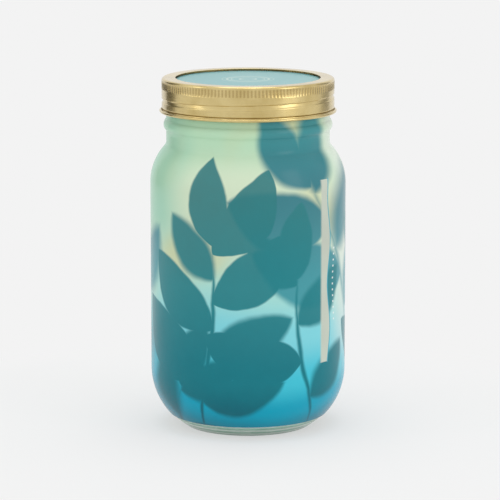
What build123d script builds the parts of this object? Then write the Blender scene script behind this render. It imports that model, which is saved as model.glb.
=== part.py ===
"""Hydroponic jar planter: a wide-mouth glass jar in a printed film, closed by a two-piece
screw lid, with a slotted net pot hung in the mouth and the growing kit packed inside it.

Millimetres, +Z up, origin at the centre of the foot ring on the surface the jar stands on,
front towards -Y."""

from build123d import *
from math import acos, atan2, degrees, radians, sin, sqrt, tan
import os

os.makedirs("parts", exist_ok=True)

# Shared values
overrun = 2.0  # how far every cutting tool runs past the face it cuts
soft_gap = 0.3  # air left round each soft piece
thread_rise = 5.08  # height that one turn of the thread gains, five turns to the inch
crest_gap = 0.3  # radial air between the glass crest and the rolled ridge

# Glass jar
shoulder_w = 8.1  # how far the body stands out past the neck
jar_wall = 3.0
heel_w = 16.6  # how far the body stands out past the foot
foot_ring_w = 3.5
push_up = 2.6
floor_t = 5.0
floor_crown = 1.2
floor_inset = 3.5  # the inner floor's edge, in from the foot's
heel_z = 29.5
shoulder_drop = 49.55  # heights with drop in their name are measured down from the rim
shoulder_r = 26.5
neck_r = 41.0
neck_fillet = 4.2
bead_drop = 20.35
bead_out = 1.3
bead_half_h = 2.8
rim_z = 173.75
lip_outer_fillet = 1.2
lip_inner_fillet = 0.8
glass_thread_h = 1.0
glass_thread_section_r = 1.3
glass_thread_turns = 1.25
glass_thread_drop = 3.0  # from the rim to the upper end of the thread

# Printed film
film_t = 0.12
film_low_z = 6.3
film_drop = 13.45

# Net pot
collar_t = 1.2
collar_lap = 0.4  # how far the collar reaches past the neck
pot_gap = 0.6  # between the pot and the mouth
pot_depth = 62.0
pot_taper = 6.4  # how much narrower the floor is than the top
pot_wall = 1.2
pot_floor_t = 1.6
slot_w = 4.0
slot_columns = 18
slot_top_drop = 18.0  # plain wall under the collar
slot_low_rise = 5.0  # plain wall over the floor
slot_bridge = 5.0  # ring between the two rows
floor_slot_w = 3.0
floor_slot_l = 12.0
floor_slot_inset = 10.0
floor_slots = 12
pot_heel_fillet = 2.0
pot_lip_fillet = 0.5

# Wick
wick_w = 20.0
wick_t = 2.4
wick_foot_gap = 6.0
wick_rise = 14.0

# Growing kit
plug_gap = 1.0
plug_h = 26.0
plug_crown = 3.0
plug_edge_fillet = 1.5
sachet_end_gap = 15.4  # end gaps are measured from the mouth of the pot
sachet_w = 32.0
carbon_h = 6.0
food_h = 4.5
food_end_gap = 19.4
food_w = 28.0
food_turn_deg = 90.0
sachet_corner = 4.0
pillow_share = 0.42
packet_turn_deg = 35.0
packet_end_gap = 12.4
packet_w = 38.0
packet_t = 1.2

# Lid disc, its seal and its label
seal_t = 1.2
seal_inset = 0.7  # the seal's inner edge, out from the mouth
seal_lap = 0.3  # how far the seal reaches past the neck
disc_sheet = 0.4
seal_side_gap = 0.6
panel_inset = 1.6
panel_drop = 0.8
step_w = 1.0
edge_share = 0.6
label_t = 0.12
label_margin = 0.4

# Screw band
band_sheet = 0.35
disc_gap = 0.7  # between the disc's edge and the band
flange_lap = 0.7  # how far the flange reaches in over the panel
shoulder_bend = 1.3
band_h = 17.3
curl_r = 0.75
curl_sweep = 285.0
pinch_h = 1.9
pinch_depth = 0.35
ridge_section_r = 1.6
band_thread_turns = 1.1
groove_end_deg = 100.0  # the upper end of the groove, counted from +X
groove_drop = 6.85
knurl_count = 150
knurl_depth = 0.18
knurl_h = 4.2
knurl_tool_r = 0.75

# Places worked out from the sizes above
body_r = neck_r + shoulder_w
foot_r = body_r - heel_w
inner_floor_r = foot_r - floor_inset
neck_in_r = neck_r - jar_wall
body_in_r = body_r - jar_wall
shoulder_z = rim_z - shoulder_drop
bead_z = rim_z - bead_drop
bead_r = neck_r + bead_out
film_top_z = rim_z - film_drop
groove_front_z = rim_z - groove_drop
turn = acos((shoulder_r + neck_fillet - shoulder_w) / (shoulder_r + neck_fillet))
turn_deg = degrees(turn)
neck_z = shoulder_z + (shoulder_r + neck_fillet) * sin(turn)
heel_r = ((body_r - foot_r) ** 2 + heel_z**2) / (2 * (body_r - foot_r))
seal_in_r = neck_in_r + seal_inset
seal_out_r = neck_r + seal_lap
disc_r = seal_out_r + seal_side_gap + disc_sheet
panel_r = seal_in_r - panel_inset
opening_r = panel_r - flange_lap
band_in_r = disc_r + disc_gap
collar_z = rim_z
collar_r = neck_r + collar_lap
collar_top_z = collar_z + collar_t
seal_top_z = collar_top_z + seal_t
disc_top_z = seal_top_z + disc_sheet
band_top_z = disc_top_z + band_sheet
band_low_z = band_top_z - band_h
panel_top_z = disc_top_z - panel_drop
band_out_r = band_in_r + band_sheet
curl_z = band_low_z + curl_r
curl_mid_r = band_in_r + curl_r
pinch_mid_z = curl_z + pinch_h / 2
pinch_top_z = curl_z + pinch_h
downward = (0, -1)
pot_top_r = neck_in_r - pot_gap
pot_floor_r = pot_top_r - pot_taper
floor_slot_r = pot_floor_r - floor_slot_inset
sachet_l = 2 * (pot_top_r - sachet_end_gap)
food_l = 2 * (pot_top_r - food_end_gap)
packet_l = 2 * (pot_top_r - packet_end_gap)
pot_floor_z = collar_z - pot_depth
slope = (pot_top_r - pot_floor_r) / pot_depth
bead_arc_r = ((bead_r - neck_r) ** 2 + bead_half_h**2) / (2 * (bead_r - neck_r))
bead_centre_r = bead_r - bead_arc_r

# Threads: the glass ridge runs half a pitch above the groove rolled in the band
front_deg = -90
glass_thread_r = neck_r + glass_thread_h - glass_thread_section_r
glass_thread_rise = glass_thread_turns * thread_rise
glass_thread_z = rim_z - glass_thread_drop - glass_thread_rise
glass_ridge_front_z = groove_front_z + thread_rise / 2
glass_thread_deg = front_deg + 360 * (glass_thread_z - glass_ridge_front_z) / thread_rise
ridge_tip_r = neck_r + glass_thread_h + crest_gap
ridge_mid_r = ridge_tip_r + ridge_section_r
groove_section_r = ridge_section_r - band_sheet
groove_rise = band_thread_turns * thread_rise
groove_low_deg = groove_end_deg - 360 * band_thread_turns
groove_low_z = groove_front_z + thread_rise * (groove_low_deg - front_deg) / 360


# Glass jar: one revolved wall, then the raised thread
with BuildPart() as glass_jar:
    with BuildSketch(Plane.XZ) as jar_section:
        with BuildLine() as jar_outline:
            under = TangentArc((0, push_up), (foot_r - foot_ring_w, 0), tangent=(1, 0))
            foot = Line(under @ 1, (foot_r, 0))
            heel = TangentArc((body_r, heel_z), foot @ 1, tangent=(0, -1))
            side = Line((body_r, heel_z), (body_r, shoulder_z))
            shoulder = JernArc(side @ 1, (0, 1), shoulder_r, turn_deg)
            hollow = JernArc(shoulder @ 1, shoulder % 1, neck_fillet, -turn_deg)
            neck = Line(hollow @ 1, (neck_r, bead_z - bead_half_h))
            bead = ThreePointArc(neck @ 1, (bead_r, bead_z), (neck_r, bead_z + bead_half_h))
            finish = Line(bead @ 1, (neck_r, rim_z))
            lip = Line(finish @ 1, (neck_in_r, rim_z))
            mouth = Line(lip @ 1, (neck_in_r, neck_z))
            inner_hollow = JernArc(mouth @ 1, (0, -1), neck_fillet + jar_wall, turn_deg)
            inner_shoulder = JernArc(
                inner_hollow @ 1, inner_hollow % 1, shoulder_r - jar_wall, -turn_deg
            )
            inner_side = Line(inner_shoulder @ 1, (body_in_r, heel_z))
            inner_heel = TangentArc(inner_side @ 1, (inner_floor_r, floor_t), tangent=(0, -1))
            bed = TangentArc((0, floor_t + floor_crown), inner_heel @ 1, tangent=(1, 0))
            middle = Line((0, push_up), (0, floor_t + floor_crown))
        make_face()
        fillet(jar_section.vertices().sort_by_distance((neck_r, rim_z))[0], lip_outer_fillet)
        fillet(jar_section.vertices().sort_by_distance((neck_in_r, rim_z))[0], lip_inner_fillet)
    revolve(axis=Axis.Z)
    with BuildLine(Plane.XY.offset(glass_thread_z).rotated((0, 0, glass_thread_deg))) as glass_spiral:
        Helix(thread_rise, glass_thread_rise, glass_thread_r)
    glass_helix = glass_spiral.edges()[0]
    with BuildSketch(Plane(glass_helix @ 0, z_dir=glass_helix % 0)):
        Circle(glass_thread_section_r)
    sweep(path=glass_helix, is_frenet=True)
    with Locations(glass_helix @ 0, glass_helix @ 1):
        Sphere(glass_thread_section_r)

# Printed film: shrunk over the glass from the heel to just under the band
low_angle = degrees(atan2(heel_z - film_low_z, sqrt(heel_r**2 - (heel_z - film_low_z) ** 2)))
bead_angle = degrees(atan2(bead_half_h, neck_r - bead_centre_r))
film_bead_cos = (neck_r + film_t - bead_centre_r) / (bead_arc_r + film_t)
film_bead_angle = degrees(acos(film_bead_cos))
film_bead_half_h = (bead_arc_r + film_t) * sin(radians(film_bead_angle))
heel_centre = (body_r - heel_r, heel_z)
shoulder_centre = (body_r - shoulder_r, shoulder_z)
hollow_centre = (neck_r + neck_fillet, neck_z)
bead_centre = (bead_centre_r, bead_z)
with BuildPart() as printed_film:
    with BuildSketch(Plane.XZ):
        with BuildLine():
            in_heel = CenterArc(heel_centre, heel_r, -low_angle, low_angle)
            in_side = Line(in_heel @ 1, (body_r, shoulder_z))
            in_shoulder = CenterArc(shoulder_centre, shoulder_r, 0, turn_deg)
            in_hollow = CenterArc(hollow_centre, neck_fillet, 180 + turn_deg, -turn_deg)
            in_neck = Line(in_hollow @ 1, (neck_r, bead_z - bead_half_h))
            in_bead = CenterArc(bead_centre, bead_arc_r, -bead_angle, 2 * bead_angle)
            in_top = Line(in_bead @ 1, (neck_r, film_top_z))
            top_edge = Line(in_top @ 1, (neck_r + film_t, film_top_z))
            out_top = Line(top_edge @ 1, (neck_r + film_t, bead_z + film_bead_half_h))
            out_bead = CenterArc(
                bead_centre, bead_arc_r + film_t, film_bead_angle, -2 * film_bead_angle
            )
            out_neck = Line(out_bead @ 1, (neck_r + film_t, neck_z))
            out_hollow = CenterArc(hollow_centre, neck_fillet - film_t, 180, turn_deg)
            out_shoulder = CenterArc(shoulder_centre, shoulder_r + film_t, turn_deg, -turn_deg)
            out_side = Line(out_shoulder @ 1, (body_r + film_t, heel_z))
            out_heel = CenterArc(heel_centre, heel_r + film_t, 0, -low_angle)
            low_edge = Line(out_heel @ 1, in_heel @ 0)
        make_face()
    revolve(axis=Axis.Z)

# Net pot: a collar that hangs on the rim, a tapered slotted wall and a slotted floor
pot_floor_top_z = pot_floor_z + pot_floor_t
slot_h = (pot_depth - slot_top_drop - slot_low_rise - slot_bridge) / 2
slot_z = collar_z - slot_top_drop - slot_h / 2
lower_slot_z = slot_z - slot_h - slot_bridge
wick_slot_w = wick_w + 2 * soft_gap
wick_slot_t = wick_t + 2 * soft_gap
with BuildPart() as net_pot:
    with BuildSketch(Plane.XZ) as pot_section:
        with BuildLine():
            Polyline(
                (0, pot_floor_z),
                (pot_floor_r, pot_floor_z),
                (pot_top_r, collar_z),
                (collar_r, collar_z),
                (collar_r, collar_top_z),
                (pot_top_r - pot_wall, collar_top_z),
                (pot_floor_r - pot_wall + slope * pot_floor_t, pot_floor_top_z),
                (0, pot_floor_top_z),
                close=True,
            )
        make_face()
        fillet(pot_section.vertices().sort_by_distance((pot_floor_r, pot_floor_z))[0], pot_heel_fillet)
        inner_lip = pot_section.vertices().sort_by_distance((pot_top_r - pot_wall, collar_top_z))[0]
        fillet(inner_lip, pot_lip_fillet)
    revolve(axis=Axis.Z)
    with BuildSketch(Plane.XZ.offset(pot_floor_r / 2)) as wall_slots:
        with Locations((0, slot_z), (0, lower_slot_z)):
            SlotOverall(slot_h, slot_w, rotation=90)
    slot_cut = extrude(amount=pot_top_r, mode=Mode.PRIVATE)
    with PolarLocations(0, slot_columns):
        add(slot_cut, mode=Mode.SUBTRACT)
    with BuildSketch(Plane.XY.offset(pot_floor_z - overrun)):
        with PolarLocations(floor_slot_r, floor_slots):
            SlotOverall(floor_slot_l, floor_slot_w)
        Rectangle(wick_slot_w, wick_slot_t)
    extrude(amount=pot_floor_t + 2 * overrun, mode=Mode.SUBTRACT)

# Wick: a flat strip of felt from the water up through the pot's floor
wick_low_z = floor_t + floor_crown + wick_foot_gap
wick_top_z = pot_floor_top_z + wick_rise
with BuildPart() as wick:
    with BuildSketch(Plane.XY.offset(wick_low_z)):
        RectangleRounded(wick_w, wick_t, wick_t / 3)
    extrude(amount=wick_top_z - wick_low_z)

# Growing plug: a tapered cake of coir, domed on top and slit below for the wick
plug_low_z = pot_floor_top_z + soft_gap
plug_low_r = pot_floor_r + slope * (plug_low_z - pot_floor_z) - pot_wall - plug_gap
plug_top_r = plug_low_r + slope * plug_h
plug_side_z = plug_low_z + plug_h
plug_top_z = plug_side_z + plug_crown
with BuildPart() as coir_plug:
    with BuildSketch(Plane.XZ) as plug_section:
        with BuildLine():
            crown = TangentArc((0, plug_top_z), (plug_top_r, plug_side_z), tangent=(1, 0))
            Polyline(crown @ 1, (plug_low_r, plug_low_z), (0, plug_low_z), crown @ 0)
        make_face()
        fillet(
            plug_section.vertices().sort_by_distance((plug_top_r, plug_side_z))[0], plug_edge_fillet
        )
    revolve(axis=Axis.Z)
    with BuildSketch(Plane.XY.offset(plug_low_z - overrun)):
        Rectangle(wick_slot_w, wick_slot_t)
    extrude(amount=overrun + wick_top_z + soft_gap - plug_low_z, mode=Mode.SUBTRACT)

# Sachets: two stuffed pouches that lie crosswise on the plug
carbon_z = plug_top_z + soft_gap
with BuildPart() as carbon_sachet:
    with BuildSketch(Plane.XY.offset(carbon_z)):
        RectangleRounded(sachet_l, sachet_w, sachet_corner)
    extrude(amount=carbon_h)
    fillet(faces().sort_by(Axis.Z)[-1].edges(), carbon_h * pillow_share)
    fillet(faces().sort_by(Axis.Z)[0].edges(), carbon_h * pillow_share)

food_z = carbon_z + carbon_h + soft_gap
with BuildPart() as food_sachet:
    with BuildSketch(Plane.XY.offset(food_z).rotated((0, 0, food_turn_deg))):
        RectangleRounded(food_l, food_w, sachet_corner)
    extrude(amount=food_h)
    fillet(faces().sort_by(Axis.Z)[-1].edges(), food_h * pillow_share)
    fillet(faces().sort_by(Axis.Z)[0].edges(), food_h * pillow_share)

# Seed packet: a flat paper envelope on top of the sachets
packet_z = food_z + food_h + soft_gap
with BuildPart() as seed_packet:
    with BuildSketch(Plane.XY.offset(packet_z).rotated((0, 0, packet_turn_deg))):
        Rectangle(packet_l, packet_w)
    extrude(amount=packet_t)

# Lid seal: a flat ring between the collar and the disc
with BuildPart() as lid_seal:
    with BuildSketch(Plane.XY.offset(collar_top_z)):
        Circle(seal_out_r)
        Circle(seal_in_r, mode=Mode.SUBTRACT)
    extrude(amount=seal_t)

# Lid disc: pressed sheet with a sunk panel and an edge turned down round the seal
step_turn = atan2(panel_drop, step_w)
step_shift = disc_sheet * tan(step_turn / 2)
edge_low_z = seal_top_z - seal_t * edge_share
with BuildPart() as lid_disc:
    with BuildSketch(Plane.XZ):
        with BuildLine():
            Polyline(
                (0, panel_top_z),
                (panel_r, panel_top_z),
                (panel_r + step_w, disc_top_z),
                (disc_r - disc_sheet, disc_top_z),
                (disc_r, disc_top_z - disc_sheet),
                (disc_r, edge_low_z),
                (disc_r - disc_sheet, edge_low_z),
                (disc_r - disc_sheet, seal_top_z),
                (panel_r + step_w + step_shift, seal_top_z),
                (panel_r + step_shift, panel_top_z - disc_sheet),
                (0, panel_top_z - disc_sheet),
                close=True,
            )
        make_face()
    revolve(axis=Axis.Z)

# Lid label: a thin printed disc laid in the sunk panel
with BuildPart() as lid_label:
    with BuildSketch(Plane.XY.offset(panel_top_z)):
        Circle(panel_r - label_margin)
    extrude(amount=label_t)

# Screw band: one sheet bent into flange, barrel and rolled edge, with the thread rolled in
with BuildPart() as screw_band:
    with BuildLine(Plane.XY.offset(groove_low_z).rotated((0, 0, groove_low_deg))) as band_spiral:
        Helix(thread_rise, groove_rise, ridge_mid_r)
    band_helix = band_spiral.edges()[0]
    with BuildSketch(Plane(band_helix @ 0, z_dir=band_helix % 0)):
        Circle(ridge_section_r)
    sweep(path=band_helix, is_frenet=True)
    with Locations(band_helix @ 0, band_helix @ 1):
        Sphere(ridge_section_r)
    with BuildSketch(Plane.XY.offset(band_low_z - overrun)):
        Circle(ridge_mid_r + ridge_section_r + overrun)
        Circle(band_out_r - band_sheet / 2, mode=Mode.SUBTRACT)
    extrude(amount=band_h + 2 * overrun, mode=Mode.SUBTRACT)
    with BuildSketch(Plane.XZ):
        with BuildLine():
            flange = Line((opening_r, band_top_z), (band_out_r - shoulder_bend, band_top_z))
            bend = JernArc(flange @ 1, (1, 0), shoulder_bend, -90)
            barrel = Line(bend @ 1, (band_out_r, pinch_top_z))
            pinch = Spline(
                barrel @ 1,
                (band_out_r - pinch_depth, pinch_mid_z),
                (band_out_r, curl_z),
                tangents=(downward, downward),
            )
            roll = CenterArc((curl_mid_r, curl_z), curl_r - band_sheet, 180, curl_sweep)
            outer_roll = CenterArc((curl_mid_r, curl_z), curl_r, 180, curl_sweep)
            roll_end = Line(roll @ 1, outer_roll @ 1)
            inner_pinch = Spline(
                (band_in_r, pinch_top_z),
                (band_in_r - pinch_depth, pinch_mid_z),
                (band_in_r, curl_z),
                tangents=(downward, downward),
            )
            inner_barrel = Line(inner_pinch @ 0, (band_in_r, band_top_z - shoulder_bend))
            inner_bend = JernArc(inner_barrel @ 1, (0, 1), shoulder_bend - band_sheet, 90)
            inner_flange = Line(inner_bend @ 1, (opening_r, band_top_z - band_sheet))
            hem = Line(inner_flange @ 1, flange @ 0)
        make_face()
    revolve(axis=Axis.Z)
    with BuildSketch(Plane(band_helix @ 0, z_dir=band_helix % 0)):
        Circle(groove_section_r)
    sweep(path=band_helix, is_frenet=True, mode=Mode.SUBTRACT)
    with Locations(band_helix @ 0, band_helix @ 1):
        Sphere(groove_section_r, mode=Mode.SUBTRACT)
    with BuildSketch(Plane.XY.offset(band_top_z - shoulder_bend - knurl_h)):
        with PolarLocations(band_out_r + knurl_tool_r - knurl_depth, knurl_count):
            Circle(knurl_tool_r)
    extrude(amount=knurl_h, mode=Mode.SUBTRACT)

# Names and files
pieces = {
    "glass_jar": glass_jar,
    "printed_film": printed_film,
    "net_pot": net_pot,
    "wick": wick,
    "coir_plug": coir_plug,
    "carbon_sachet": carbon_sachet,
    "food_sachet": food_sachet,
    "seed_packet": seed_packet,
    "lid_seal": lid_seal,
    "lid_disc": lid_disc,
    "lid_label": lid_label,
    "screw_band": screw_band,
}
for name, piece in pieces.items():
    piece.part.label = name
    export_step(piece.part, f"parts/{name}.step")
    box = piece.part.bounding_box()
    print(name, round(piece.part.volume, 1), piece.part.is_valid, len(piece.part.solids()),
          [round(v, 2) for v in (box.min.X, box.min.Y, box.min.Z, box.max.X, box.max.Y, box.max.Z)])
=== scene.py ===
"""Dresses the hydroponic jar planter: green glass jar, printed film, net pot with the growing
kit, lid disc and screw band. Sizes are millimetres until a mesh is finished, then metres."""

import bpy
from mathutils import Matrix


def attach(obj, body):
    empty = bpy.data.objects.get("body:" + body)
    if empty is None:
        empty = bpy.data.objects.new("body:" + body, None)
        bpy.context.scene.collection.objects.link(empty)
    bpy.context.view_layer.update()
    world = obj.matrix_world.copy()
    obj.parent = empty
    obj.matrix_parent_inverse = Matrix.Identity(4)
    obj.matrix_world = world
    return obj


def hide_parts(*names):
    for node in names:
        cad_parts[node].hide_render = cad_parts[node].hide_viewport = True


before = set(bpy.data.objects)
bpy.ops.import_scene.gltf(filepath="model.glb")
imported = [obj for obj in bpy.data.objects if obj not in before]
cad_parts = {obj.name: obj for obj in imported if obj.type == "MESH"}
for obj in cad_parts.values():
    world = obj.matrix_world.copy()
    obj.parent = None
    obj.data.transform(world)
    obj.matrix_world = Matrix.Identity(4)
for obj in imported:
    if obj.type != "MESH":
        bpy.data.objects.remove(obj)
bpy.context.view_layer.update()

import logging
from collections.abc import Callable, Iterable
from dataclasses import dataclass
from enum import Enum
from functools import reduce
from math import acos, atan2, copysign, cos, degrees, hypot, pi, radians, sin, sqrt
from typing import NamedTuple

import bmesh
import bpy
from bmesh.types import BMesh, BMFace, BMVert
from bpy.types import ID, Material, Node, NodeSocket, NodeTree, Object
from mathutils import Matrix, Vector, noise

LOG = logging.getLogger("jar_planter")
MM = 0.001
RISE = 5.08  # height that one turn of the screw thread gains
MAP_H = 160.0  # height that the film's map counts as 1
Colour = tuple[float, float, float]
Tones = tuple[tuple[float, Colour], ...]
Point = tuple[float, float]
Place = tuple[float, float, float]


class Body(Enum):
    """The moving bodies that the pieces ride on."""

    JAR = "jar"
    POT = "pot"
    LID = "lid"
    BAND = "band"


class FilmSide(Enum):
    """The two sides of the film round the jar."""

    PRINTED = "film_printed_side"
    BACK = "film_white_back"


def linear(red: int, green: int, blue: int) -> Colour:
    """Turns a colour as a screen shows it, 0 to 255, into the amounts that a shader takes."""
    shares = (red / 255, green / 255, blue / 255)
    return tuple(s / 12.92 if s <= 0.04045 else ((s + 0.055) / 1.055) ** 2.4 for s in shares)


def arc_r(rise: float, half: float) -> float:
    """Gives the radius of an arc that rises so far over half its chord."""
    return (rise**2 + half**2) / (2 * rise)


# ---------------------------------------------------------------- outlines and meshes


class Outline:
    """The outline of a turned piece, drawn in the plane of radius and height."""

    def __init__(self, radius: float, height: float) -> None:
        """Starts the outline at one point."""
        self.mesh = bmesh.new()
        self.tip = self.start = self.mesh.verts.new((radius, 0, height))

    def line(self, radius: float, height: float, steps: int = 1) -> "Outline":
        """Draws a straight run to a point in that many edges, and gives the outline."""
        first, last = self.tip.co.copy(), Vector((radius, 0, height))
        for step in range(1, steps + 1):
            self.tip = bmesh.ops.extrude_vert_indiv(self.mesh, verts=[self.tip])["verts"][0]
            self.tip.co = first.lerp(last, step / steps)
        return self

    def arc(self, centre_r: float, centre_z: float, turn: float, steps: int) -> "Outline":
        """Draws an arc about a centre, so many degrees anticlockwise, and gives the outline."""
        centre, angle = (centre_r, 0, centre_z), -radians(turn)
        swept = bmesh.ops.spin(self.mesh, geom=[self.tip], cent=centre, axis=(0, 1, 0), angle=angle, steps=steps)
        self.tip = [g for g in swept["geom_last"] if isinstance(g, BMVert)][0]
        return self

    def arc_to(self, radius: float, height: float, centre_r: float, centre_z: float, steps: int) -> "Outline":
        """Draws the shorter arc about a centre to a point, and gives the outline."""
        first = atan2(self.tip.co.z - centre_z, self.tip.co.x - centre_r)
        last = atan2(height - centre_z, radius - centre_r)
        turn = (last - first + pi) % (2 * pi) - pi
        return self.arc(centre_r, centre_z, degrees(turn), steps)

    def turned(self, columns: int) -> BMesh:
        """Spins the outline once round the jar's axis, and gives the closed shell."""
        shell = self.mesh
        geom = shell.verts[:] + shell.edges[:]
        bmesh.ops.spin(shell, geom=geom, axis=(0, 0, 1), angle=2 * pi, steps=columns, use_merge=True)
        bmesh.ops.remove_doubles(shell, verts=shell.verts[:], dist=1e-4)
        bmesh.ops.recalc_face_normals(shell, faces=shell.faces[:])
        return shell


@dataclass(frozen=True)
class Helix:
    """The middle line of a thread that winds round a cylinder."""

    low_deg: float
    high_deg: float
    low_z: float
    radius: float

    def offset(self, angle: float, height: float) -> Point:
        """Says where a point on the cylinder lies beside the helix.

        Args:
            angle: The point's degrees from +X.
            height: The point's height.

        Returns:
            How far the point is above the nearest turn, and how far past the helix's end.
        """
        nearest, margin = (1e9, 1e9), 2
        if not -margin < height - self.low_z < margin + RISE * (self.high_deg - self.low_deg) / 360:
            return nearest
        first, last = (int((end - angle) // 360) for end in (self.low_deg, self.high_deg))
        for turn in range(first - 1, last + 2):
            there = angle + 360 * turn
            held = min(max(there, self.low_deg), self.high_deg)
            above = height - self.low_z - RISE * (held - self.low_deg) / 360
            spot = (above, radians(abs(there - held)) * self.radius)
            if hypot(*spot) < hypot(*nearest):
                nearest = spot
        return nearest


def wrap_uv(mesh: BMesh) -> None:
    """Lays a map round a turned piece, once round for 0 to 1 with the front at 0.5."""
    layer = mesh.loops.layers.uv.new("wrap")
    for face in mesh.faces:
        centre = face.calc_center_median()
        middle = atan2(centre.x, -centre.y) / (2 * pi)
        for loop in face.loops:
            spot = loop.vert.co
            share = atan2(spot.x, -spot.y) / (2 * pi)
            share += round(middle - share)
            loop[layer].uv = (share + 0.5, spot.z / MAP_H)


def round_out(mesh: BMesh, radius_at: Callable[[float, float, float], float]) -> None:
    """Moves each point to the radius given for its radius, degrees from +X and height."""
    for vert in mesh.verts:
        old = hypot(vert.co.x, vert.co.y)
        if old > 1e-6:
            new = radius_at(old, degrees(atan2(vert.co.y, vert.co.x)), vert.co.z)
            vert.co.x *= new / old
            vert.co.y *= new / old


def roughen(mesh: BMesh, depth: Callable[[Vector], float]) -> None:
    """Moves each point along its normal, as far as the depth given for its place."""
    mesh.normal_update()
    for vert, normal in [(v, v.normal.copy()) for v in mesh.verts]:
        vert.co += normal * depth(vert.co)


def moved(mesh: BMesh, scale: tuple = (1, 1, 1), shift: tuple = (0, 0, 0), verts: list | None = None) -> None:
    """Scales points of a mesh, or all of them, and then shifts them."""
    verts = mesh.verts[:] if verts is None else verts
    bmesh.ops.scale(mesh, vec=scale, verts=verts)
    bmesh.ops.translate(mesh, vec=shift, verts=verts)


def rotated(mesh: BMesh, turn: float, axis: str) -> None:
    """Turns a mesh by degrees about an axis of the scene."""
    bmesh.ops.rotate(mesh, matrix=Matrix.Rotation(radians(turn), 3, axis), verts=mesh.verts[:])


def placed(name: str, data: BMesh | ID) -> Object:
    """Puts a mesh, a lamp or a camera into the scene as an object of that name."""
    if isinstance(data, BMesh):
        mesh, data = data, bpy.data.meshes.new(name)
        mesh.to_mesh(data)
        mesh.free()
    made = bpy.data.objects.new(name, data)
    bpy.context.scene.collection.objects.link(made)
    return made


def finished(
    mesh: BMesh,
    name: str,
    finishes: list[Material],
    body: Body,
    node: str,
    sharp: float = 40,
) -> Object:
    """Turns a mesh in millimetres into a piece that rides on its body.

    Args:
        mesh: The piece's mesh, freed here.
        name: The piece's name.
        finishes: Its materials, in the order of its faces' numbers.
        body: The body that it rides on.
        node: The solid that it stands for.
        sharp: Degrees between two faces past which their edge stays sharp.

    Returns:
        The piece.
    """
    moved(mesh, (MM, MM, MM))
    piece = placed(name, mesh)
    data = piece.data
    data.polygons.foreach_set("use_smooth", [True] * len(data.polygons))
    data.set_sharp_from_angle(angle=radians(sharp))
    for finish in finishes:
        data.materials.append(finish)
    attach(piece, body.value)
    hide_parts(node)
    LOG.info("%s: %d faces, on %s", name, len(data.polygons), body.value)
    return piece


# ---------------------------------------------------------------- material nodes


@dataclass(frozen=True)
class Value:
    """What one node gives another. A sum on it adds the node that works it out."""

    recipe: "Recipe"
    socket: NodeSocket

    def __add__(self, other: "Amount") -> "Value":
        """Adds an amount to it."""
        return self.recipe.math("ADD", self, other)

    def __radd__(self, other: float) -> "Value":
        """Adds it to a number."""
        return self.recipe.math("ADD", other, self)

    def __sub__(self, other: "Amount") -> "Value":
        """Takes an amount from it."""
        return self.recipe.math("SUBTRACT", self, other)

    def __rsub__(self, other: float) -> "Value":
        """Takes it from a number."""
        return self.recipe.math("SUBTRACT", other, self)

    def __mul__(self, other: "Amount") -> "Value":
        """Multiplies it."""
        return self.recipe.math("MULTIPLY", self, other)

    def __truediv__(self, other: "Amount") -> "Value":
        """Divides it."""
        return self.recipe.math("DIVIDE", self, other)

    def __abs__(self) -> "Value":
        """Drops its sign."""
        return self.recipe.math("ABSOLUTE", self)


Amount = Value | float


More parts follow.
